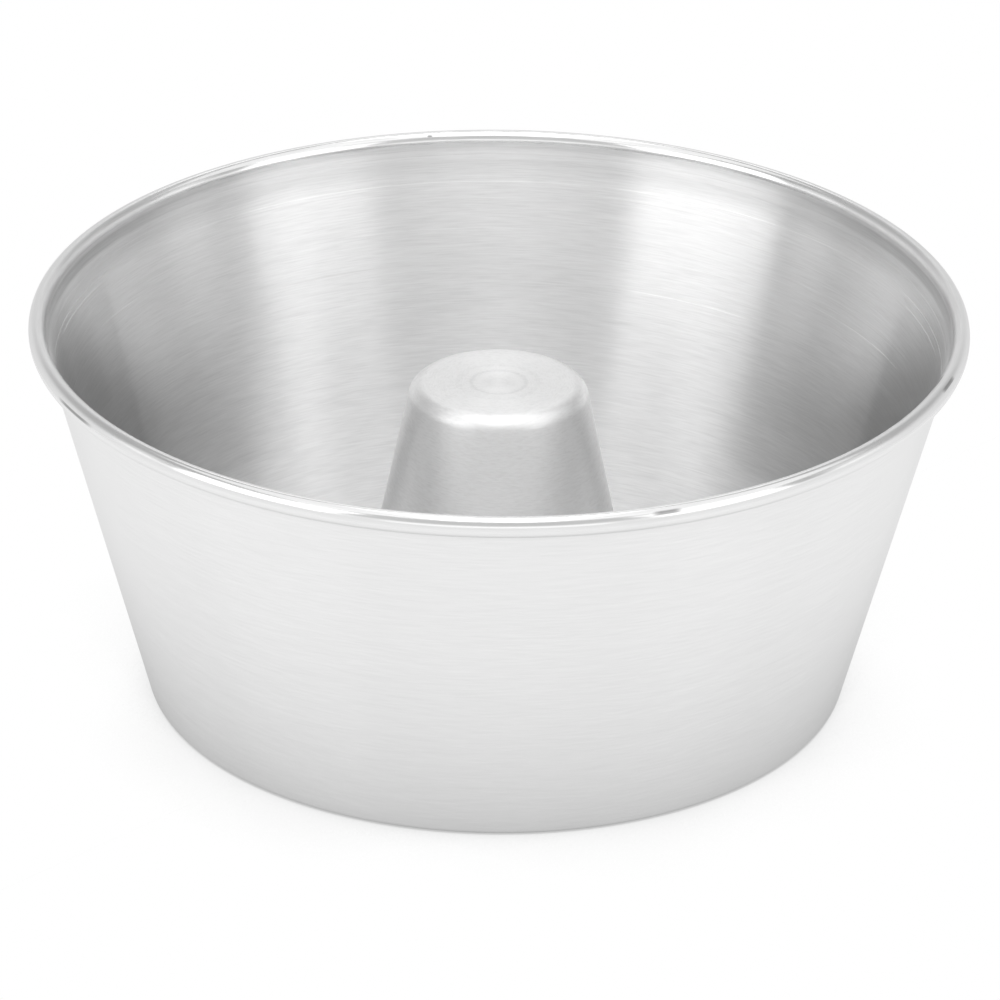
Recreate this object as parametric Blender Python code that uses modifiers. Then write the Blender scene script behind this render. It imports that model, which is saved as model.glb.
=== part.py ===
"""Flan mould of spun aluminium, made of two pieces of sheet.

The pan is a tapered round shell with a hollow rolled bead round its mouth and a hole in the
middle of its floor. The centre cone is closed at the top and open below. Its foot is hooked
into the edge of the hole by a flat lock seam, which lies in a shallow recess under the floor,
so that the mould rests on the flat ring outside it.

Metres, +Z up. The mould stands on the plane z = 0 and its axis is Z. Both profiles are drawn
along the middle of the sheet as (radius, height) points.
"""

import math

import bpy

MM = 0.001

# Pan
RIM_RADIUS = 110.0 * MM          # outermost reach of the rolled bead
MOULD_HEIGHT = 93.7 * MM         # resting plane to the top of the bead
BASE_RADIUS = 83.2 * MM          # line of the outer wall carried down to the resting plane
PAN_SHEET = 0.9 * MM             # thickness of the pan's sheet
FOOT_ROUNDING = 2.0 * MM         # outside radius where the wall turns into the floor

# Rolled bead and the lip below it
BEAD_WIDTH = 3.4 * MM            # across, from the inner face of the lip to the outermost point
BEAD_HEIGHT = 5.0 * MM           # from the underside of the curl to its top
BEAD_END_GAP = 0.3 * MM          # from the curled edge to the outside of the lip
LIP_STEP = 1.7 * MM              # how far the lip stands outside the top of the straight wall
LIP_RISE = 2.6 * MM              # height of the flare between the wall and the lip
LIP_UPRIGHT = 1.6 * MM           # upright part between the flare and the middle of the bead
LIP_UPPER_ROUNDING = 3.0 * MM
LIP_LOWER_ROUNDING = 4.0 * MM

# Centre cone
CONE_HEIGHT = 75.3 * MM          # resting plane to the flat top
CONE_FOOT_RADIUS = 36.1 * MM     # line of the outer side carried down to the resting plane
CONE_TOP_RADIUS = 20.6 * MM      # the same line carried up to the flat top
CONE_SHEET = 0.9 * MM            # thickness of the cone's sheet
SHOULDER_ROUNDING = 4.0 * MM     # outside radius between the side and the flat top
MARK_RADIUS = 6.4 * MM           # round mark left by the spinning lathe's follower
MARK_DEPTH = 0.2 * MM
MARK_EDGE = 0.6 * MM             # width of the mark's sloping edge

# Lock seam between the two
SEAM_LAP = 4.0 * MM              # straight length over which the two hooks lie in each other
SEAM_GAP = 0.3 * MM              # clearance between neighbouring layers of sheet
GROUND_GAP = 0.5 * MM            # from the resting plane to the underside of the seam
RECESS_MARGIN = 6.5 * MM         # flat floor between the seam and the step round the recess
STEP_RUN = 5.0 * MM              # distance over which the floor steps up to the recess
STEP_ROUNDING = 3.0 * MM

# Facets: all turned pieces share one count, so that the layers of the seam stay parallel
TURNED_STEPS = 60
BEAD_SEGMENTS = 14
FOLD_SEGMENTS = 6
BEND_SEGMENTS = 4
DEGREES_PER_SEGMENT = 22.0

ALUMINIUM_COLOUR = (0.80, 0.80, 0.81, 1.0)
ALUMINIUM_ROUGHNESS = 0.32
MERGE_DISTANCE = 0.00001

# Levels of the four layers of the seam, from the lowest, and the middles of its folds
LAYER_PITCH = (PAN_SHEET + CONE_SHEET) / 2 + SEAM_GAP
FLANGE_LEVEL = GROUND_GAP + CONE_SHEET / 2
HEM_LEVEL = FLANGE_LEVEL + LAYER_PITCH
RETURN_LEVEL = HEM_LEVEL + LAYER_PITCH
PLATEAU_LEVEL = RETURN_LEVEL + LAYER_PITCH

CONE_TAPER = math.atan2(CONE_FOOT_RADIUS - CONE_TOP_RADIUS, CONE_HEIGHT)


def cone_side_radius(height):
    """Radius of the middle of the cone's sheet at a height."""
    outer = CONE_FOOT_RADIUS - height * math.tan(CONE_TAPER)
    return outer - CONE_SHEET / 2 / math.cos(CONE_TAPER)


INNER_FOLD_RADIUS = cone_side_radius(RETURN_LEVEL) + 2 * LAYER_PITCH / math.cos(CONE_TAPER)
OUTER_FOLD_RADIUS = INNER_FOLD_RADIUS + SEAM_LAP


def arc(centre, radii, start, end, segments):
    """Points on an oval arc, with angles in degrees from the outward radius."""
    points = []
    for index in range(segments + 1):
        angle = math.radians(start + (end - start) * index / segments)
        points.append((centre[0] + radii[0] * math.cos(angle), centre[1] + radii[1] * math.sin(angle)))
    return points


def rounded(before, corner, after, radius):
    """Points of the round that joins the straight runs before-corner and corner-after."""
    incoming = math.atan2(corner[1] - before[1], corner[0] - before[0])
    outgoing = math.atan2(after[1] - corner[1], after[0] - corner[0])
    turn = (outgoing - incoming + math.pi) % (2 * math.pi) - math.pi
    side = math.copysign(1.0, turn)
    reach = radius * math.tan(abs(turn) / 2)
    first = (corner[0] - reach * math.cos(incoming), corner[1] - reach * math.sin(incoming))
    centre = (
        first[0] - side * radius * math.sin(incoming),
        first[1] + side * radius * math.cos(incoming),
    )
    start = math.degrees(incoming) - side * 90
    segments = max(2, math.ceil(abs(math.degrees(turn)) / DEGREES_PER_SEGMENT))
    return arc(centre, (radius, radius), start, start + math.degrees(turn), segments)


def joined_runs(corners, roundings):
    """Points along straight runs through the corners, with each inner corner rounded."""
    points = []
    for index, radius in enumerate(roundings):
        points += rounded(corners[index], corners[index + 1], corners[index + 2], radius)
    return points


def pan_profile():
    """Middle of the pan's sheet, from the curled edge of the bead to the hem of the hole."""
    half = PAN_SHEET / 2
    bead_radii = (BEAD_WIDTH / 2 - half, BEAD_HEIGHT / 2 - half)
    bead_centre = (RIM_RADIUS - BEAD_WIDTH / 2, MOULD_HEIGHT - BEAD_HEIGHT / 2)
    bead_end = -math.degrees(math.acos((half + BEAD_END_GAP) / bead_radii[0] - 1))
    bead = arc(bead_centre, bead_radii, bead_end, 180, BEAD_SEGMENTS)

    lip_radius = bead_centre[0] - bead_radii[0]
    flare_top = (lip_radius, bead_centre[1] - LIP_UPRIGHT)
    wall_top = (lip_radius - LIP_STEP, flare_top[1] - LIP_RISE)

    # The wall's taper, where its middle lies half a sheet inside the line of its outer side
    wall_run = wall_top[0] - BASE_RADIUS
    taper = math.atan2(wall_run, wall_top[1]) + math.asin(half / math.hypot(wall_run, wall_top[1]))
    foot = (BASE_RADIUS + half * math.tan(taper) - half / math.cos(taper), half)

    seam_reach = OUTER_FOLD_RADIUS + LAYER_PITCH + CONE_SHEET / 2
    step_top = (seam_reach + RECESS_MARGIN, PLATEAU_LEVEL)
    step_foot = (step_top[0] + STEP_RUN, half)
    plateau_end = (INNER_FOLD_RADIUS, PLATEAU_LEVEL)
    runs = joined_runs(
        [bead[-1], flare_top, wall_top, foot, step_foot, step_top, plateau_end],
        [LIP_UPPER_ROUNDING, LIP_LOWER_ROUNDING, FOOT_ROUNDING - half, STEP_ROUNDING, STEP_ROUNDING],
    )
    fold_centre = (INNER_FOLD_RADIUS, RETURN_LEVEL)
    fold = arc(fold_centre, (LAYER_PITCH, LAYER_PITCH), 90, 270, FOLD_SEGMENTS)
    hem_end = (OUTER_FOLD_RADIUS, HEM_LEVEL)
    return bead + runs + fold + [hem_end]


def cone_profile():
    """Middle of the cone's sheet, from the middle of its top to the edge hooked in the seam."""
    half = CONE_SHEET / 2
    top_level = CONE_HEIGHT - half
    taper = math.degrees(CONE_TAPER)
    mark = [
        (0.0, top_level - MARK_DEPTH),
        (MARK_RADIUS - MARK_EDGE / 2, top_level - MARK_DEPTH),
        (MARK_RADIUS + MARK_EDGE / 2, top_level),
    ]
    shoulder_corner = (cone_side_radius(top_level), top_level)
    side_foot = (cone_side_radius(RETURN_LEVEL), RETURN_LEVEL)
    shoulder = rounded(mark[-1], shoulder_corner, side_foot, SHOULDER_ROUNDING - half)
    bend_centre = (INNER_FOLD_RADIUS, RETURN_LEVEL)
    bend = arc(bend_centre, (2 * LAYER_PITCH, 2 * LAYER_PITCH), 180 + taper, 270, BEND_SEGMENTS)
    fold_centre = (OUTER_FOLD_RADIUS, HEM_LEVEL)
    fold = arc(fold_centre, (LAYER_PITCH, LAYER_PITCH), -90, 90, FOLD_SEGMENTS)
    return_end = (INNER_FOLD_RADIUS, RETURN_LEVEL)
    return mark + shoulder + bend + fold + [return_end]


def aluminium(name):
    """Satin spun aluminium."""
    material = bpy.data.materials.new(name)
    material.use_nodes = True
    shader = material.node_tree.nodes["Principled BSDF"]
    shader.inputs["Base Color"].default_value = ALUMINIUM_COLOUR
    shader.inputs["Metallic"].default_value = 1.0
    shader.inputs["Roughness"].default_value = ALUMINIUM_ROUGHNESS
    return material


def turned_sheet(name, profile, thickness, collection):
    """A closed sheet piece, turned round Z from the middle line of its sheet."""
    mesh = bpy.data.meshes.new(name)
    points = [(radius, 0.0, height) for radius, height in profile]
    edges = [(index, index + 1) for index in range(len(points) - 1)]
    mesh.from_pydata(points, edges, [])
    mesh.materials.append(aluminium(name))
    piece = bpy.data.objects.new(name, mesh)
    collection.objects.link(piece)

    screw = piece.modifiers.new("turn", "SCREW")
    screw.axis = "Z"
    screw.angle = math.tau
    screw.steps = TURNED_STEPS
    screw.render_steps = TURNED_STEPS
    screw.use_smooth_shade = True
    screw.use_merge_vertices = True
    screw.merge_threshold = MERGE_DISTANCE

    sheet = piece.modifiers.new("sheet", "SOLIDIFY")
    sheet.thickness = thickness
    sheet.offset = 0.0
    sheet.use_even_offset = True
    return piece


def build():
    for old in list(bpy.data.objects):
        bpy.data.objects.remove(old, do_unlink=True)
    parts = bpy.data.collections.new("flan_mould")
    bpy.context.scene.collection.children.link(parts)
    turned_sheet("pan", pan_profile(), PAN_SHEET, parts)
    turned_sheet("centre_cone", cone_profile(), CONE_SHEET, parts)


build()
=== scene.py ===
"""Looks of the flan mould: satin spun aluminium on a white table, seen from above the rim.

Both sheets are turned here from the CAD's sizes, apart from a wider bead, a smaller step at the
lip and a softer lathe mark, with finer rounds and more steps. Lengths are in metres. Profiles are
(radius, height) points along the middle of a sheet.
"""

import math

import bpy
import numpy as np
from mathutils import Matrix, Vector


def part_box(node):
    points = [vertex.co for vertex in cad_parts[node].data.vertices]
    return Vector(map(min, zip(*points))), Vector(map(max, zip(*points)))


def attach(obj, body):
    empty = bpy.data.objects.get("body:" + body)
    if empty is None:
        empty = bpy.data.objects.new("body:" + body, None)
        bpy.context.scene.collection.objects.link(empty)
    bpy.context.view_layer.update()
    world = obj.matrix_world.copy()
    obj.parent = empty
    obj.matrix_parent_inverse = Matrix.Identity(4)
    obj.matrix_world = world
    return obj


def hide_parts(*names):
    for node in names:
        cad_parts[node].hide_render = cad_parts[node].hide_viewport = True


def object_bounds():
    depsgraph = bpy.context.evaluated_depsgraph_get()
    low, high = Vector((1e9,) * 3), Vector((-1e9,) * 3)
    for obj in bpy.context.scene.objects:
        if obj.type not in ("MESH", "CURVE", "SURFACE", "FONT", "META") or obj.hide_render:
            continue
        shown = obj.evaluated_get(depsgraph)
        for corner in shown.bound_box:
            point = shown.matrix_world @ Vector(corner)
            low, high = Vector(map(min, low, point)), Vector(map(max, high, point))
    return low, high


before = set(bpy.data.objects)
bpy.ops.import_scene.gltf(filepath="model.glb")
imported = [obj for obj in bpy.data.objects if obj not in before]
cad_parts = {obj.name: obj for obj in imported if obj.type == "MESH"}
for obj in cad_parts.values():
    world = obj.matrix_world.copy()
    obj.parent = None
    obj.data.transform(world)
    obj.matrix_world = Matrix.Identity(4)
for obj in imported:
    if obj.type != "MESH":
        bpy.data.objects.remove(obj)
cad_low, cad_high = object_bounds()

MM = 0.001

# Sizes read from the frame
RIM_RADIUS = cad_high.x
MOULD_HEIGHT = cad_high.z
CONE_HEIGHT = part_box("centre_cone")[1].z
GROUND_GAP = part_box("centre_cone")[0].z

# Pan
BASE_RADIUS = 83.2 * MM
PAN_SHEET = 0.9 * MM
FOOT_ROUNDING = 2.0 * MM

# Rolled bead and the lip below it: 0.6 mm wider to the inside than in the CAD, as in the photo
BEAD_WIDTH = 4.0 * MM
BEAD_HEIGHT = 5.0 * MM
BEAD_END_GAP = 0.3 * MM
LIP_STEP = 1.1 * MM
LIP_RISE = 2.6 * MM
LIP_UPRIGHT = 1.6 * MM
LIP_UPPER_ROUNDING = 3.0 * MM
LIP_LOWER_ROUNDING = 4.0 * MM

# Centre cone
CONE_FOOT_RADIUS = 36.1 * MM
CONE_TOP_RADIUS = 20.6 * MM
CONE_SHEET = 0.9 * MM
SHOULDER_ROUNDING = 4.0 * MM
MARK_RADIUS = 6.4 * MM
MARK_DEPTH = 0.12 * MM
MARK_EDGE = 1.4 * MM

# Lock seam
SEAM_LAP = 4.0 * MM
SEAM_GAP = 0.3 * MM
RECESS_MARGIN = 6.5 * MM
STEP_RUN = 5.0 * MM
STEP_ROUNDING = 3.0 * MM

# Fineness of the meshes
TURNED_STEPS = 256
DEGREES_PER_SEGMENT = 6.0
LONGEST_RUN = 2.6 * MM
SHARP_ANGLE = math.radians(50)
ON_AXIS = 1e-7                   # points closer to the axis than this become one

# Camera
CAMERA_PLACE = Vector((0.0, -1.3302, 0.7035))
CAMERA_AIM = Vector((0.0006, 0.0, 0.0443))
CAMERA_ROLL = math.radians(0.60)
CAMERA_LENS = 225.1              # millimetres, on a sensor 36 mm wide
CAMERA_SENSOR = 36.0
CAMERA_RANGE = (0.1, 20.0)

# Studio lamps: name, place, point that it faces, width, height and brightness
LAMPS = (
    ("ceiling", (0.5, -0.30, 2.0), (0.5, -0.30, 0.0), 4.2, 2.4, 0.58),
    ("overhead", (0.0, -0.25, 1.9), (0.0, -0.25, 0.0), 0.8, 2.3, 0.80),
    ("back", (0.0, 1.55, 1.60), (0.0, 0.0, 0.05), 1.00, 0.60, 0.80),
    ("front_left", (-1.64, -1.04, 0.85), (0.0, 0.0, 0.05), 1.55, 1.40, 1.16),
    ("front_right", (1.57, -1.19, 0.85), (0.0, 0.0, 0.05), 1.30, 1.40, 0.72),
    ("front_middle", (0.0, -2.0, 0.20), (0.0, 0.0, 0.05), 1.90, 0.40, 0.30),
    ("side_left", (-2.0, 0.05, 0.70), (0.0, 0.0, 0.05), 0.50, 1.00, 0.34),
    ("side_right", (2.0, 0.05, 0.70), (0.0, 0.0, 0.05), 0.60, 1.00, 0.36),
)

# Light of the world round the lamps. Its zones are parts of a direction one long: Z is up, and Y
# is away from the camera
HORIZON_ZONE = (0.16, 0.32)      # Z where the light of the horizon gives way to the upper light
HORIZON_LIGHT = 1.0              # on the camera's side
BACK_LIGHT = 0.85                # on the far side
BACK_ZONE = (-0.3, 0.8)          # Y between the two
UPPER_LIGHT = 0.66               # above the horizon, on the camera's side
SIDE_UPPER_LIGHT = 0.48          # straight up and at the sides
SIDE_UPPER_ZONE = (-0.7, 0.0)
BACK_UPPER_LIGHT = 0.80          # on the far side
BACK_UPPER_ZONE = (0.65, 0.9)

# Table
TABLE_SIDE = 40.0
TABLE_GRAIN = 900.0              # specks per metre
GRAIN_LIMITS = (0.3, 0.7)
TABLE_GREY = (0.86, 0.94)
TABLE_ROUGHNESS = 0.9
SHADOW_REACH = 90.0 * MM
SHADOW_SAMPLES = 8
SEEN_OPENNESS = (0.28, 0.44)     # the camera sees a shadow close round the mould
SEEN_LIGHT = (0.55, 1.0)
MIRRORED_OPENNESS = (0.0, 0.9)   # the metal mirrors a wider and deeper one
MIRRORED_LIGHT = (0.3, 0.93)

# Finish of the metal and the shade painted into its grey: grey levels are linear, heights are above
# the table
QUARTER_TURN = 0.25              # lays the brushing round the axis
ALUMINIUM_GREY = 0.93
DEEP_SHADE_GREY = 0.90                 # painted shade at the foot of the inner wall, in its middle
DEEP_SHADE_TOP = 62.0 * MM             # where the painted shade at the foot has ended
FLANK_SHADE_GREY = 0.48                # painted shade in a band on its two flanks
FLANK_SHADE_EDGE_GREY = 0.97           # above and below that band of painted shade
FLANK_LEVELS = (37.0 * MM, 67.0 * MM)      # where the painted shade fades out upwards
FLANK_LOW_LEVELS = (16.0 * MM, 32.0 * MM)  # and where it comes in from below
FLANK_ZONE = (0.55, 1.0)         # X of the bearing, to either side
FLANK_RISE = 34.0 * MM           # how much higher the band lies at bearings 0 and 180
FLANK_RISE_ZONE = (0.0, 0.6)     # Y of the bearing, to either side
CREASE_SHADE_GREY = 0.70               # painted shade under the bead, at the two flanks
CREASE_LEVEL = 89.4 * MM
CREASE_REACH = 1.7 * MM
OUTSIDE_BLEND = 0.01             # how sharply the outside's finish meets the inside's
WALL_ROUGHNESS = 0.32
LIP_ROUGHNESS = 0.42
OUTER_ROUGHNESS = 0.22
BEAD_ROUGHNESS = (0.16, 0.34)    # in front and behind, and at the two sides
BEAD_SIDE_ZONE = (0.55, 0.95)    # X of the bearing, to either side
BEAD_ANISOTROPY = 0.60
# Grey of the bead, lowered as painted shade that dims its reflections
BEAD_SHADE_GREY = 0.82
LIP_LEVELS = (81.0 * MM, 87.0 * MM)
BEAD_LEVELS = (90.5 * MM, 92.0 * MM)
CONE_ROUGHNESS = 0.46
CONE_ANISOTROPY = 0.60
CONE_TOP_ANISOTROPY = 0.42
CONE_TOP_ROUGHNESS = 0.40
CONE_GREY = 0.97
CONE_SLANT = 0.06                # rise of the cone's brushing across its front

# Rings of light and shade painted on the cone's top, round the follower's mark: radius and half
# width in millimetres, and grey
CONE_PAINTED_RINGS = (
    (6.5, 0.9, 0.89),
    (4.6, 1.2, 1.0),
    (2.2, 0.8, 0.94),
    (9.4, 1.2, 0.94),
)

# Marks of the lathe: how many there are in a metre across them and round the axis, and detail
FINE_LINES = (3000.0, 14.0, 2.0)
SOFT_LINES = (520.0, 6.0, 3.0)
BROAD_LINES = (70.0, 3.0, 3.0)
LONG_SCRATCHES = (1100.0, 1.6, 0.0)
SCRATCH_LIMITS = (0.70, 0.76)    # noise above these limits is a scratch
SCRATCH_DEPTH = 0.016 * MM
BRUSHING_RELIEF = 0.6            # depth of the fine lines as a share of SCRATCH_DEPTH
OUTER_WEAR = 0.36                # share of these marks on the outside

# How much the fine, soft and broad lines change the grey and the roughness
GREY_SHARES = (0.26, 0.12, 0.08)
ROUGHNESS_SHARES = (0.10, 0.20, 0.10)

# Single marks round the inside of the pan: height in millimetres, bearing from +X and reach to
# each side in degrees, and tilt, which is light above zero and dark below it
PAN_MARKS = (
    (88.4, 90.0, 80.0, -0.12),
    (81.8, 88.0, 75.0, 0.14),
    (86.2, 168.0, 30.0, 0.36),
    (83.4, 173.0, 24.0, 0.95),
    (81.9, 166.0, 10.0, 0.70),
    (73.0, 152.0, 12.0, 0.22),
    (86.0, 12.0, 30.0, 0.36),
    (82.6, 3.0, 20.0, 1.1),
    (80.4, 11.0, 10.0, 0.55),
    (66.5, 28.0, 14.0, 0.22),
    (70.4, 96.0, 20.0, 0.10),
    (62.0, 116.0, 12.0, -0.10),
    (57.5, 58.0, 15.0, 0.12),
)
MARK_WIDTH = 0.32 * MM

# Painted dark reflections on the bead: bearing from +X and reach to each side in degrees, then
# height and half height in millimetres
BEAD_DARK_REFLECTIONS = (
    (-70.1, 2.0, 92.8, 0.5),
    (-19.6, 2.6, 93.1, 0.4),
    (-151.0, 5.0, 91.7, 0.5),
    (99.6, 0.4, 93.1, 0.3),
)
# Grey of the dark reflections painted on the bead
DARK_REFLECTION_GREY = 0.36

# Share of the half width of a painted dark reflection or of the painted shade in the crease that
# has its full strength
FULL_SHARE = 0.4

# Layers of the lock seam, from the lowest
LAYER_PITCH = (PAN_SHEET + CONE_SHEET) / 2 + SEAM_GAP
FLANGE_LEVEL = GROUND_GAP + CONE_SHEET / 2
HEM_LEVEL = FLANGE_LEVEL + LAYER_PITCH
RETURN_LEVEL = HEM_LEVEL + LAYER_PITCH
PLATEAU_LEVEL = RETURN_LEVEL + LAYER_PITCH
CONE_TAPER = math.atan2(CONE_FOOT_RADIUS - CONE_TOP_RADIUS, CONE_HEIGHT)


def cone_side_radius(height):
    """Radius of the middle of the cone's sheet at a height."""
    outer = CONE_FOOT_RADIUS - height * math.tan(CONE_TAPER)
    return outer - CONE_SHEET / 2 / math.cos(CONE_TAPER)


INNER_FOLD_RADIUS = cone_side_radius(RETURN_LEVEL) + 2 * LAYER_PITCH / math.cos(CONE_TAPER)
OUTER_FOLD_RADIUS = INNER_FOLD_RADIUS + SEAM_LAP


def arc(centre, radii, start, end):
    """Points on an oval arc, with angles in degrees from the outward radius."""
    segments = max(3, math.ceil(abs(end - start) / DEGREES_PER_SEGMENT))
    points = []
    for index in range(segments + 1):
        angle = math.radians(start + (end - start) * index / segments)
        radius = centre[0] + radii[0] * math.cos(angle)
        points.append((radius, centre[1] + radii[1] * math.sin(angle)))
    return points


def rounded(before, corner, after, radius):
    """Points of the round that joins the straight runs before-corner and corner-after."""
    incoming = math.atan2(corner[1] - before[1], corner[0] - before[0])
    outgoing = math.atan2(after[1] - corner[1], after[0] - corner[0])
    turn = (outgoing - incoming + math.pi) % math.tau - math.pi
    side = math.copysign(1.0, turn)
    reach = radius * math.tan(abs(turn) / 2)
    first = (corner[0] - reach * math.cos(incoming), corner[1] - reach * math.sin(incoming))
    centre = (
        first[0] - side * radius * math.sin(incoming),
        first[1] + side * radius * math.cos(incoming),
    )
    start = math.degrees(incoming) - side * 90
    return arc(centre, (radius, radius), start, start + math.degrees(turn))


def joined_runs(corners, roundings):
    """Points along straight runs through the corners, with each inner corner rounded."""
    points = []
    for index, radius in enumerate(roundings):
        points += rounded(corners[index], corners[index + 1], corners[index + 2], radius)
    return points


def with_short_runs(points):
    """The same line with points added, so that no straight run is longer than LONGEST_RUN."""
    line = [points[0]]
    for before, after in zip(points, points[1:]):
        pieces = math.ceil(math.dist(before, after) / LONGEST_RUN)
        for index in range(1, pieces + 1):
            share = index / pieces
            line.append(tuple(a + (b - a) * share for a, b in zip(before, after)))
    return line


def pan_profile():
    """Middle of the pan's sheet, from the curled edge of the bead to the hem of the hole."""
    half = PAN_SHEET / 2
    bead_radii = (BEAD_WIDTH / 2 - half, BEAD_HEIGHT / 2 - half)
    bead_centre = (RIM_RADIUS - BEAD_WIDTH / 2, MOULD_HEIGHT - BEAD_HEIGHT / 2)
    bead_end = -math.degrees(math.acos((half + BEAD_END_GAP) / bead_radii[0] - 1))
    bead = arc(bead_centre, bead_radii, bead_end, 180)

    lip_radius = bead_centre[0] - bead_radii[0]
    flare_top = (lip_radius, bead_centre[1] - LIP_UPRIGHT)
    wall_top = (lip_radius - LIP_STEP, flare_top[1] - LIP_RISE)
    wall_run = wall_top[0] - BASE_RADIUS
    taper = math.atan2(wall_run, wall_top[1]) + math.asin(half / math.hypot(wall_run, wall_top[1]))
    foot = (BASE_RADIUS + half * math.tan(taper) - half / math.cos(taper), half)

    seam_reach = OUTER_FOLD_RADIUS + LAYER_PITCH + CONE_SHEET / 2
    step_top = (seam_reach + RECESS_MARGIN, PLATEAU_LEVEL)
    step_foot = (step_top[0] + STEP_RUN, half)
    plateau_end = (INNER_FOLD_RADIUS, PLATEAU_LEVEL)
    corners = [bead[-1], flare_top, wall_top, foot, step_foot, step_top, plateau_end]
    lip_roundings = [LIP_UPPER_ROUNDING, LIP_LOWER_ROUNDING]
    floor_roundings = [FOOT_ROUNDING - half, STEP_ROUNDING, STEP_ROUNDING]
    runs = joined_runs(corners, lip_roundings + floor_roundings)
    fold = arc((INNER_FOLD_RADIUS, RETURN_LEVEL), (LAYER_PITCH, LAYER_PITCH), 90, 270)
    return bead + runs + fold + [(OUTER_FOLD_RADIUS, HEM_LEVEL)]


def cone_profile():
    """Middle of the cone's sheet, from the middle of its top to the edge hooked in the seam."""
    half = CONE_SHEET / 2
    top_level = CONE_HEIGHT - half
    taper = math.degrees(CONE_TAPER)
    mark = [
        (0.0, top_level - MARK_DEPTH),
        (MARK_RADIUS - MARK_EDGE / 2, top_level - MARK_DEPTH),
        (MARK_RADIUS + MARK_EDGE / 2, top_level),
    ]
    shoulder_corner = (cone_side_radius(top_level), top_level)
    side_foot = (cone_side_radius(RETURN_LEVEL), RETURN_LEVEL)
    shoulder = rounded(mark[-1], shoulder_corner, side_foot, SHOULDER_ROUNDING - half)
    bend_radii = (2 * LAYER_PITCH, 2 * LAYER_PITCH)
    bend = arc((INNER_FOLD_RADIUS, RETURN_LEVEL), bend_radii, 180 + taper, 270)
    fold = arc((OUTER_FOLD_RADIUS, HEM_LEVEL), (LAYER_PITCH, LAYER_PITCH), -90, 90)
    return mark + shoulder + bend + fold + [(INNER_FOLD_RADIUS, RETURN_LEVEL)]


def sheet_outline(middle, thickness):
    """Closed outline of a sheet: one face along the middle line, then the other face back."""
    line = np.array(with_short_runs(middle))
    steps = np.diff(line, axis=0)
    directions = steps / np.linalg.norm(steps, axis=1)[:, None]
    before = np.vstack([directions[:1], directions])
    after = np.vstack([directions, directions[-1:]])
    tangent = before + after
    tangent /= np.linalg.norm(tangent, axis=1)[:, None]
    normal = np.stack([tangent[:, 1], -tangent[:, 0]], axis=1)
    reach = thickness / 2 / (before * tangent).sum(axis=1)
    offset = normal * reach[:, None]
    return np.vstack([line + offset, (line - offset)[::-1]])


def turned(name, outline, material):
    """A smooth mesh turned round Z from a closed outline, which may touch the axis."""
    on_axis = outline[:, 0] < ON_AXIS
    angles = np.arange(TURNED_STEPS) * math.tau / TURNED_STEPS
    verts, rings = [], []
    for (radius, height), axial in zip(outline, on_axis):
        first = len(verts)
        if axial:
            verts.append((0.0, 0.0, height))
            rings.append([first] * TURNED_STEPS)
        else:
            verts.extend((radius * math.cos(a), radius * math.sin(a), height) for a in angles)
            rings.append(list(range(first, first + TURNED_STEPS)))
    faces = []
    for index, ring in enumerate(rings):
        following = (index + 1) % len(rings)
        if on_axis[index] and on_axis[following]:
            continue
        below = rings[following]
        for step in range(TURNED_STEPS):
            ahead = (step + 1) % TURNED_STEPS
            corners = [ring[step], below[step], below[ahead], ring[ahead]]
            faces.append(list(dict.fromkeys(corners)))
    mesh = bpy.data.meshes.new(name)
    mesh.from_pydata(verts, [], faces)
    mesh.polygons.foreach_set("use_smooth", [True] * len(mesh.polygons))
    mesh.set_sharp_from_angle(angle=SHARP_ANGLE)
    mesh.materials.append(material)
    mesh.update()
    piece = bpy.data.objects.new(name, mesh)
    bpy.context.scene.collection.objects.link(piece)
    return piece


class Graph:
    """Short names for adding nodes to a material's or world's node tree."""

    def __init__(self, owner):
        owner.use_nodes = True
        self.tree = owner.node_tree

    def node(self, kind, **settings):
        node = self.tree.nodes.new(kind)
        for name, value in settings.items():
            setattr(node, name, value)
        return node

    def feed(self, socket, value):
        if isinstance(value, bpy.types.NodeSocket):
            self.tree.links.new(value, socket)
        else:
            socket.default_value = value

    def math(self, operation, *values):
        """Result of an operation on numbers or number sockets."""
        node = self.node("ShaderNodeMath", operation=operation)
        for socket, value in zip(node.inputs, values):
            self.feed(socket, value)
        return node.outputs[0]

    def vector(self, operation, *values):
        """Result of a vector operation, which is a number for some of them."""
        node = self.node("ShaderNodeVectorMath", operation=operation)
        for socket, value in zip(node.inputs, values):
            self.feed(socket, value)
        single = operation in ("LENGTH", "DOT_PRODUCT")
        return node.outputs["Value" if single else "Vector"]

    def split(self, vector):
        node = self.node("ShaderNodeSeparateXYZ")
        self.feed(node.inputs[0], vector)
        return node.outputs

    def mixed(self, share, low, high):
        """Goes from low to high while share goes from 0 to 1."""
        node = self.node("ShaderNodeMix")
        for index, value in ((0, share), (2, low), (3, high)):
            self.feed(node.inputs[index], value)
        return node.outputs[0]

    def ramp(self, value, start, end, low=0.0, high=1.0):
        """Rises smoothly from low to high while value goes from start to end."""
        node = self.node("ShaderNodeMapRange", interpolation_type="SMOOTHSTEP")
        for socket, number in zip(node.inputs, (value, start, end, low, high)):
            self.feed(socket, number)
        return node.outputs[0]

    def absolute(self, value):
        """A number without its sign."""
        return self.math("ABSOLUTE", value)

    def near(self, value, middle, half):
        """One where value is close to middle, falling to nothing at half to each side."""
        away = self.absolute(self.math("SUBTRACT", value, middle))
        return self.ramp(away, FULL_SHARE * half, half, 1.0, 0.0)

    def mixed_shader(self, share, low, high):
        """Mixes two shaders, with all of high where share is 1."""
        node = self.node("ShaderNodeMixShader")
        for socket, value in zip(node.inputs, (share, low, high)):
            self.feed(socket, value)
        return node.outputs[0]

    def feed_grey(self, socket, grey):
        """Feeds a colour socket with a grey level."""
        colour = self.node("ShaderNodeCombineColor")
        for channel in colour.inputs:
            self.feed(channel, grey)
        self.feed(socket, colour.outputs[0])


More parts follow.
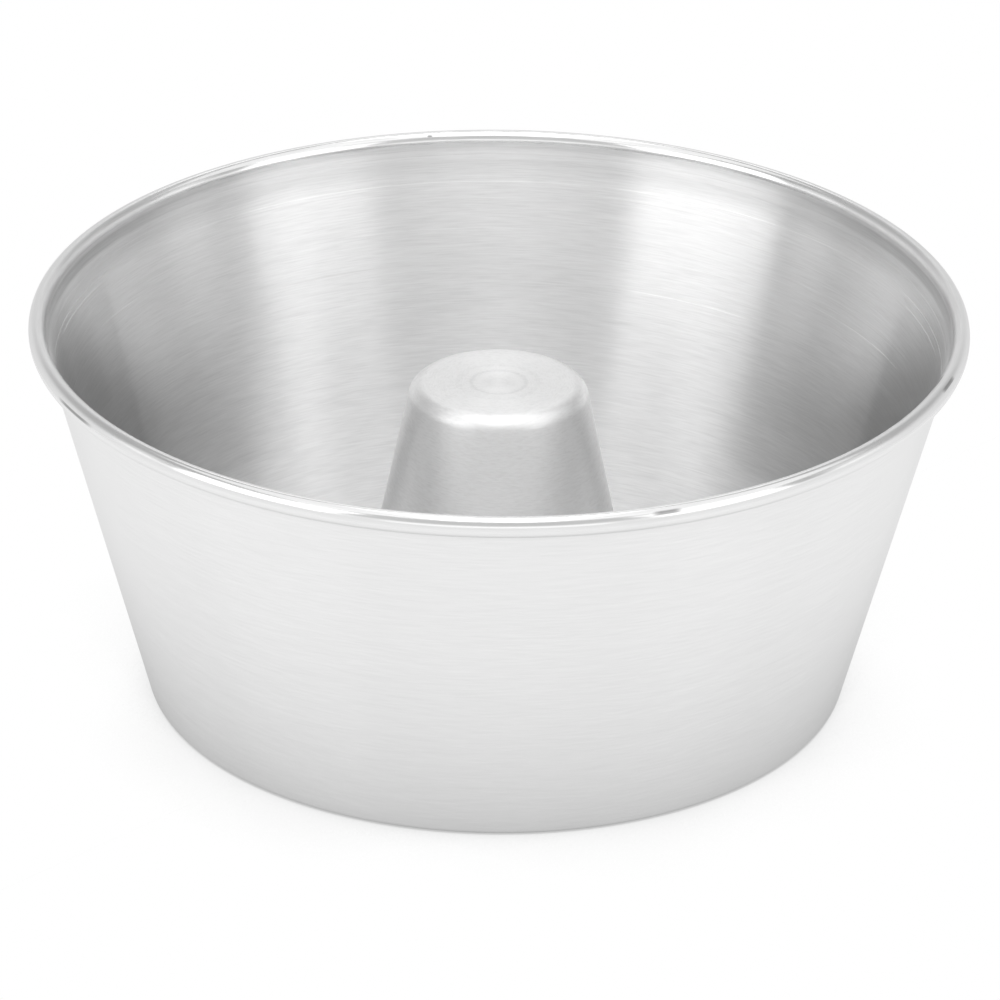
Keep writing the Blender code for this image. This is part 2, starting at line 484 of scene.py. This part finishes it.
class Metal:
    """Aluminium brushed round the Z axis, with its nodes at hand."""

    def __init__(self, name, slant, anisotropy):
        """Slant is how much the brushing rises along X."""
        self.material = bpy.data.materials.new(name)
        self.graph = graph = Graph(self.material)
        self.shader = graph.tree.nodes["Principled BSDF"]
        self.shader.distribution = "GGX"
        self.shader.inputs["Metallic"].default_value = 1.0
        self.shader.inputs["Anisotropic"].default_value = anisotropy
        self.shader.inputs["Anisotropic Rotation"].default_value = QUARTER_TURN
        tangent = graph.node("ShaderNodeTangent", direction_type="RADIAL", axis="Z")
        graph.feed(self.shader.inputs["Tangent"], tangent.outputs[0])

        place = graph.node("ShaderNodeTexCoord").outputs
        self.place, self.normal = place["Object"], place["Normal"]
        spot = graph.split(self.place)
        self.height = spot["Z"]
        self.outward = graph.vector("MULTIPLY", self.place, (1.0, 1.0, 0.0))
        self.radius = graph.vector("LENGTH", self.outward)
        self.bearing = graph.split(graph.vector("NORMALIZE", self.outward))
        self.level = graph.math("MULTIPLY_ADD", spot["X"], slant, self.height)

        self.fine = self.lines(*FINE_LINES)
        self.soft = self.lines(*SOFT_LINES)
        self.broad = self.lines(*BROAD_LINES)
        self.scratches = graph.ramp(self.lines(*LONG_SCRATCHES), *SCRATCH_LIMITS)
        self.wear = 1.0
        self.marks = 0.0

    def lines(self, across, around, detail):
        """Noise drawn out round the axis."""
        graph = self.graph
        place = graph.node("ShaderNodeCombineXYZ")
        graph.feed(place.inputs["X"], graph.math("MULTIPLY", self.radius, across))
        graph.feed(place.inputs["Y"], graph.math("MULTIPLY", self.level, across))
        graph.feed(place.inputs["Z"], graph.math("MULTIPLY", self.bearing["X"], around))
        noise = graph.node("ShaderNodeTexNoise", noise_dimensions="4D")
        graph.feed(noise.inputs["Vector"], place.outputs[0])
        graph.feed(noise.inputs["W"], graph.math("MULTIPLY", self.bearing["Y"], around))
        noise.inputs["Scale"].default_value = 1.0
        noise.inputs["Detail"].default_value = detail
        return noise.outputs[0]

    def varied(self, value, fine, soft, broad):
        """A value times one plus shares of the three kinds of brushing."""
        graph = self.graph
        total = 1.0 - (fine + soft + broad) / 2
        for share, lines in ((fine, self.fine), (soft, self.soft), (broad, self.broad)):
            total = graph.math("MULTIPLY_ADD", lines, share, total)
        return graph.math("MULTIPLY", graph.mixed(self.wear, 1.0, total), value)

    def reach(self, bearing, spread):
        """One within a third of spread from a bearing, nothing past spread, both in degrees."""
        angle = math.radians(bearing)
        middle = (math.cos(angle), math.sin(angle), 0.0)
        ahead = self.graph.vector("DOT_PRODUCT", self.outward, middle)
        share = self.graph.math("DIVIDE", ahead, self.radius)
        edge, full = math.cos(math.radians(spread)), math.cos(math.radians(spread / 3))
        return self.graph.ramp(share, edge, full)

    def add_mark(self, height, bearing, spread, tilt):
        """A thin line round the inside, drawn as a small step that tilts the surface."""
        low, high = height * MM - MARK_WIDTH / 2, height * MM + MARK_WIDTH / 2
        depth = tilt * MARK_WIDTH / SCRATCH_DEPTH
        step = self.graph.ramp(self.height, low, high, depth, 0.0)
        part = self.graph.math("MULTIPLY", step, self.reach(bearing, spread))
        self.marks = self.graph.math("ADD", self.marks, part)

    def finish(self, grey, roughness):
        """Brushes the colour, the roughness and the surface."""
        graph = self.graph
        grey = graph.math("MINIMUM", self.varied(grey, *GREY_SHARES), 1.0)
        graph.feed_grey(self.shader.inputs["Base Color"], grey)
        graph.feed(self.shader.inputs["Roughness"], self.varied(roughness, *ROUGHNESS_SHARES))
        relief = graph.math("MULTIPLY_ADD", self.fine, BRUSHING_RELIEF, self.scratches)
        relief = graph.math("MULTIPLY_ADD", relief, self.wear, self.marks)
        bump = graph.node("ShaderNodeBump")
        graph.feed(bump.inputs["Height"], relief)
        bump.inputs["Distance"].default_value = SCRATCH_DEPTH
        graph.feed(self.shader.inputs["Normal"], bump.outputs[0])
        return self.material


def inner_grey_with_painted_shade(metal):
    """Grey of the inside of the pan, with shade painted at the foot, on the two flanks and under
    the bead.
    """
    graph = metal.graph
    # Painted shade in a band on the two flanks of the inner wall
    flank_shade_mask = graph.ramp(graph.absolute(metal.bearing["X"]), *FLANK_ZONE)
    rise = graph.ramp(graph.absolute(metal.bearing["Y"]), *FLANK_RISE_ZONE, FLANK_RISE, 0.0)
    level = graph.math("SUBTRACT", metal.height, rise)
    above = graph.ramp(level, *FLANK_LEVELS, FLANK_SHADE_GREY, FLANK_SHADE_EDGE_GREY)
    below = graph.ramp(level, *FLANK_LOW_LEVELS, FLANK_SHADE_EDGE_GREY, 0.0)
    flank_shade_grey = graph.math("MAXIMUM", above, below)
    # Painted shade: darker towards the foot of the inner wall
    grey = graph.ramp(metal.height, 0.0, DEEP_SHADE_TOP, DEEP_SHADE_GREY, ALUMINIUM_GREY)
    grey = graph.mixed(flank_shade_mask, grey, flank_shade_grey)
    # Painted shade in the crease under the bead, on the two flanks
    crease_shade = graph.near(metal.height, CREASE_LEVEL, CREASE_REACH)
    return graph.mixed(graph.math("MULTIPLY", crease_shade, flank_shade_mask), grey, CREASE_SHADE_GREY)


def pan_metal():
    """The pan: satin inside, smoother outside, with painted shade inside and on its bead, and a few
    dark reflections painted on its bead.
    """
    metal = Metal("pan_aluminium", 0.0, 1.0)
    graph = metal.graph
    facing = graph.vector("DOT_PRODUCT", metal.outward, metal.normal)
    outside = graph.ramp(facing, -OUTSIDE_BLEND, OUTSIDE_BLEND)
    metal.wear = graph.mixed(outside, 1.0, OUTER_WEAR)
    for mark in PAN_MARKS:
        metal.add_mark(*mark)
    metal.marks = graph.math("MULTIPLY", metal.marks, graph.math("SUBTRACT", 1.0, outside))

    bead = graph.ramp(metal.height, *BEAD_LEVELS)
    graph.feed(metal.shader.inputs["Anisotropic"], graph.mixed(bead, 1.0, BEAD_ANISOTROPY))
    inner = graph.ramp(metal.height, *LIP_LEVELS, WALL_ROUGHNESS, LIP_ROUGHNESS)
    roughness = graph.mixed(outside, inner, OUTER_ROUGHNESS)
    aside = graph.absolute(metal.bearing["X"])
    bead_roughness = graph.ramp(aside, *BEAD_SIDE_ZONE, *BEAD_ROUGHNESS)
    roughness = graph.mixed(bead, roughness, bead_roughness)

    grey = graph.mixed(outside, inner_grey_with_painted_shade(metal), ALUMINIUM_GREY)
    # Painted shade on the bead, which dims its reflections
    grey = graph.mixed(bead, grey, BEAD_SHADE_GREY)
    # Dark reflections painted as spots on the bead
    for bearing, spread, height, half in BEAD_DARK_REFLECTIONS:
        level = graph.near(metal.height, height * MM, half * MM)
        spot = graph.math("MULTIPLY", level, metal.reach(bearing, spread))
        grey = graph.mixed(spot, grey, DARK_REFLECTION_GREY)
    return metal.finish(grey, roughness)


def cone_metal():
    """The cone: weak bow-tie on its top, with rings of light and shade painted round the mark that
    the lathe's follower left.
    """
    metal = Metal("cone_aluminium", CONE_SLANT, CONE_ANISOTROPY)
    graph = metal.graph
    top = graph.ramp(metal.height, CONE_HEIGHT - SHOULDER_ROUNDING / 2, CONE_HEIGHT - MARK_DEPTH)
    anisotropy = graph.mixed(top, CONE_ANISOTROPY, CONE_TOP_ANISOTROPY)
    graph.feed(metal.shader.inputs["Anisotropic"], anisotropy)
    grey = CONE_GREY
    # Rings of light and shade painted on the cone's top
    for radius, half, painted_ring_grey in CONE_PAINTED_RINGS:
        away = graph.absolute(graph.math("SUBTRACT", metal.radius, radius * MM))
        ring = graph.ramp(away, 0.0, half * MM, 1.0, 0.0)
        grey = graph.mixed(ring, grey, painted_ring_grey)
    return metal.finish(grey, graph.mixed(top, CONE_ROUGHNESS, CONE_TOP_ROUGHNESS))


def table_material():
    """White where it is seen, with a soft shadow where the mould stands on it.

    From below it can be looked through, so that the underside of the mould can be seen.
    """
    material = bpy.data.materials.new("table")
    graph = Graph(material)
    shader = graph.tree.nodes["Principled BSDF"]
    shader.inputs["Roughness"].default_value = TABLE_ROUGHNESS
    grain = graph.node("ShaderNodeTexNoise")
    graph.feed(grain.inputs["Vector"], graph.node("ShaderNodeTexCoord").outputs["Object"])
    grain.inputs["Scale"].default_value = TABLE_GRAIN
    grey = graph.ramp(grain.outputs[0], *GRAIN_LIMITS, *TABLE_GREY)
    graph.feed_grey(shader.inputs["Base Color"], grey)

    openness = graph.node("ShaderNodeAmbientOcclusion", samples=SHADOW_SAMPLES)
    openness.inputs["Distance"].default_value = SHADOW_REACH
    seen_light = graph.ramp(openness.outputs["AO"], *SEEN_OPENNESS, *SEEN_LIGHT)
    mirrored_light = graph.ramp(openness.outputs["AO"], *MIRRORED_OPENNESS, *MIRRORED_LIGHT)
    rays = graph.node("ShaderNodeLightPath").outputs
    white = graph.node("ShaderNodeEmission")
    strength = graph.mixed(rays["Is Camera Ray"], mirrored_light, seen_light)
    graph.feed(white.inputs["Strength"], strength)

    seen = graph.math("MAXIMUM", rays["Is Camera Ray"], rays["Is Glossy Ray"])
    seen = graph.math("MAXIMUM", seen, rays["Is Transmission Ray"])
    table = graph.mixed_shader(seen, shader.outputs[0], white.outputs[0])
    backfacing = graph.node("ShaderNodeNewGeometry").outputs["Backfacing"]
    seen_below = graph.math("MULTIPLY", backfacing, rays["Is Camera Ray"])
    clear = graph.node("ShaderNodeBsdfTransparent").outputs[0]
    surface = graph.mixed_shader(seen_below, table, clear)
    graph.feed(graph.tree.nodes["Material Output"].inputs["Surface"], surface)
    return material


def add_table():
    """A plain table under the mould, which the camera's pictures show but the part leaves out."""
    mesh = bpy.data.meshes.new("table")
    half = TABLE_SIDE / 2
    corners = [(-half, -half, 0), (half, -half, 0), (half, half, 0), (-half, half, 0)]
    mesh.from_pydata(corners, [], [(0, 1, 2, 3)])
    mesh.materials.append(table_material())
    table = bpy.data.objects.new("table", mesh)
    bpy.context.scene.collection.objects.link(table)


def aimed(place, target):
    """Placement at a point, looking at another one."""
    place = Vector(place)
    facing = (Vector(target) - place).to_track_quat("-Z", "Y").to_matrix().to_4x4()
    return Matrix.Translation(place) @ facing


def add_camera():
    camera = bpy.data.objects.new("camera", bpy.data.cameras.new("camera"))
    bpy.context.scene.collection.objects.link(camera)
    roll = Matrix.Rotation(CAMERA_ROLL, 4, "Z")
    camera.matrix_world = aimed(CAMERA_PLACE, CAMERA_AIM) @ roll
    camera.data.lens = CAMERA_LENS
    camera.data.sensor_width = CAMERA_SENSOR
    camera.data.clip_start, camera.data.clip_end = CAMERA_RANGE
    bpy.context.scene.camera = camera


def add_lamps():
    """Soft panels round the table."""
    for name, place, target, width, height, brightness in LAMPS:
        lamp = bpy.data.lights.new(name, "AREA")
        lamp.shape = "RECTANGLE"
        lamp.size, lamp.size_y = width, height
        lamp.energy = math.pi * width * height * brightness
        panel = bpy.data.objects.new(name, lamp)
        panel.matrix_world = aimed(place, target)
        bpy.context.scene.collection.objects.link(panel)


def add_world():
    """A white surround, light near the horizon and darker above it."""
    world = bpy.data.worlds.new("studio")
    graph = Graph(world)
    direction = graph.split(graph.node("ShaderNodeTexCoord").outputs["Generated"])
    away, up = direction["Y"], direction["Z"]
    low = graph.ramp(away, *BACK_ZONE, HORIZON_LIGHT, BACK_LIGHT)
    side = graph.ramp(away, *SIDE_UPPER_ZONE, UPPER_LIGHT, SIDE_UPPER_LIGHT)
    high = graph.mixed(graph.ramp(away, *BACK_UPPER_ZONE), side, BACK_UPPER_LIGHT)
    background = graph.tree.nodes["Background"]
    background.inputs["Color"].default_value = (1.0, 1.0, 1.0, 1.0)
    graph.feed(background.inputs["Strength"], graph.mixed(graph.ramp(up, *HORIZON_ZONE), low, high))
    bpy.context.scene.world = world


pan = turned("spun_pan", sheet_outline(pan_profile(), PAN_SHEET), pan_metal())
cone = turned("spun_cone", sheet_outline(cone_profile(), CONE_SHEET), cone_metal())
for piece, node, slot in ((pan, "pan", "pan_aluminium"), (cone, "centre_cone", "cone_aluminium")):
    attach(piece, "root")
    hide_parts(node)
add_table()
add_camera()
add_lamps()
add_world()
bpy.context.scene.view_settings.view_transform = "Standard"
